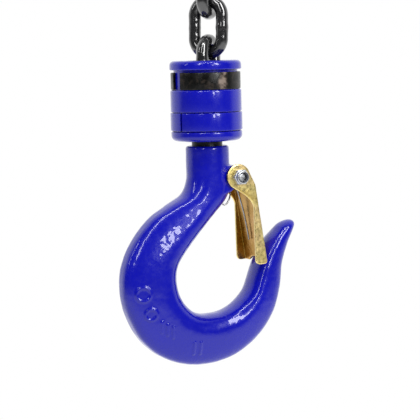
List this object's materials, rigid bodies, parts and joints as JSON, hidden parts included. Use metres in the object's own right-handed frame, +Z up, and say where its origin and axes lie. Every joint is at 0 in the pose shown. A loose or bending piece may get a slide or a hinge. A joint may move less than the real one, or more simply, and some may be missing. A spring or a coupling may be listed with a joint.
{
  "type": "swivel hoist hook",
  "caption": "Forged swivel hook with a sprung safety latch, turning on a ball race in a round holder that hangs from load chain.",
  "frame": {"origin": "inner top crown of the uppermost chain link, on the load line", "axes": "+Z up along the load line, from which the swivel axis leans 1.5 degrees as it hangs; +X from the shank towards the hook's mouth; +Y across the hook, from the lock nut's side to the bolt head's side"},
  "size_m": [0.0949, 0.035, 0.1999],
  "materials": {
    "enamel": "glossy blue enamel over forged steel",
    "chain": "glossy black oxide",
    "spring_band": "oiled black spring steel, brownish",
    "bare_steel": "hardened bare steel",
    "yellow_zinc": "yellow chromated zinc plate",
    "white_zinc": "bright zinc plate",
    "nylon": "dark nylon",
    "spring_wire": "drawn spring wire"
  },
  "bodies": {
    "top_link": {"top_link": "chain"},
    "middle_link": {"middle_link": "chain"},
    "end_link": {"end_link": "chain"},
    "holder": {"holder_body": "enamel", "upper_retaining_ring": "spring_band", "lower_retaining_ring": "enamel", "chain_pin": "bare_steel", "ball_fill_plug": "bare_steel"},
    "balls": {"bearing_ball_1": "bare_steel", "bearing_ball_2": "bare_steel", "bearing_ball_3": "bare_steel", "bearing_ball_4": "bare_steel", "bearing_ball_5": "bare_steel", "bearing_ball_6": "bare_steel", "bearing_ball_7": "bare_steel", "bearing_ball_8": "bare_steel", "bearing_ball_9": "bare_steel"},
    "hook": {"hook": "enamel", "latch_bolt": "white_zinc", "latch_nut": "white_zinc", "latch_nut_insert": "nylon", "latch_spring": "spring_wire"},
    "latch": {"latch_plate": "yellow_zinc"}
  },
  "joints": [
    {"name": "middle_link_swing", "type": "hinge", "parent": "top_link", "child": "middle_link", "pos_m": [0, 0, -0.0222], "axis": [0.7547, 0.6561, 0], "range_deg": [-80, 80]},
    {"name": "end_link_swing", "type": "hinge", "parent": "middle_link", "child": "end_link", "pos_m": [0, 0, -0.0412], "axis": [0.6561, -0.7547, 0], "range_deg": [-80, 80]},
    {"name": "holder_rock", "type": "hinge", "parent": "end_link", "child": "holder", "pos_m": [0, 0, -0.054], "axis": [-0.6558, 0.7547, -0.0172], "range_deg": [-5, 5]},
    {"name": "hook_swivel", "type": "hinge", "parent": "holder", "child": "hook", "pos_m": [-0.00046, 0.00113, -0.07422], "axis": [-0.0262, 0, 0.9997], "continuous": true},
    {"name": "ball_orbit", "type": "hinge", "parent": "holder", "child": "balls", "pos_m": [-0.00046, 0.00113, -0.07422], "axis": [-0.0262, 0, 0.9997], "continuous": true},
    {"name": "latch_pivot", "type": "hinge", "parent": "hook", "child": "latch", "pos_m": [0.01165, 0.00113, -0.10101], "axis": [0, 1, 0], "range_deg": [0, 52], "stiffness_Nm_per_rad": 0.05, "springref_deg": -28.65, "deforming": ["latch_spring"]}
  ],
  "couplings": [
    {"joint": "ball_orbit", "follows": "hook_swivel", "ratio": 0.39}
  ]
}
